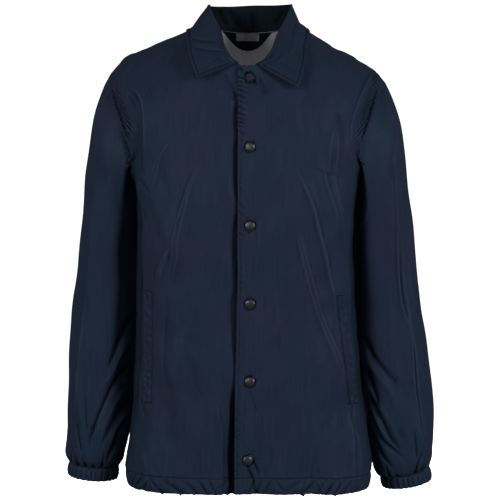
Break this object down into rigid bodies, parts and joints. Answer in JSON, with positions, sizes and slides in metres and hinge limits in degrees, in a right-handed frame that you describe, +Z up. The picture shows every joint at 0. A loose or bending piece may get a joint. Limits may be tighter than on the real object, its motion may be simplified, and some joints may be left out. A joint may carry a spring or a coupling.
{
  "type": "windbreaker",
  "caption": "Navy nylon windbreaker of the coach-jacket cut, filled out and hollow, with a pointed collar, snap front, welt pockets, gathered cuffs and a cased hem.",
  "frame": {"origin": "midway between the two high shoulder points, where the wearer carries the jacket", "axes": "+Z up, the front faces -Y, the wearer's right side is -X"},
  "size_m": [0.6202, 0.2712, 0.805],
  "materials": {
    "nylon": "soft satin nylon taffeta",
    "facing": "dull navy nylon",
    "label": "bare grey satin",
    "snap": "gunmetal plate"
  },
  "bodies": {
    "root": {"front_right": "nylon", "front_left": "nylon", "back": "nylon", "sleeve_right": "nylon", "sleeve_left": "nylon", "collar": "nylon", "hem_front_right": "nylon", "hem_front_left": "nylon", "hem_back": "nylon", "cuff_right": "nylon", "cuff_left": "nylon", "pocket_welt_right": "nylon", "pocket_welt_left": "nylon", "neck_facing": "facing", "neck_label": "label", "snap_cap_1": "snap", "snap_cap_2": "snap", "snap_cap_3": "snap", "snap_cap_4": "snap", "snap_cap_5": "snap", "snap_cap_6": "snap", "snap_stud_1": "snap", "snap_stud_2": "snap", "snap_stud_3": "snap", "snap_stud_4": "snap", "snap_stud_5": "snap", "snap_stud_6": "snap"}
  },
  "joints": []
}
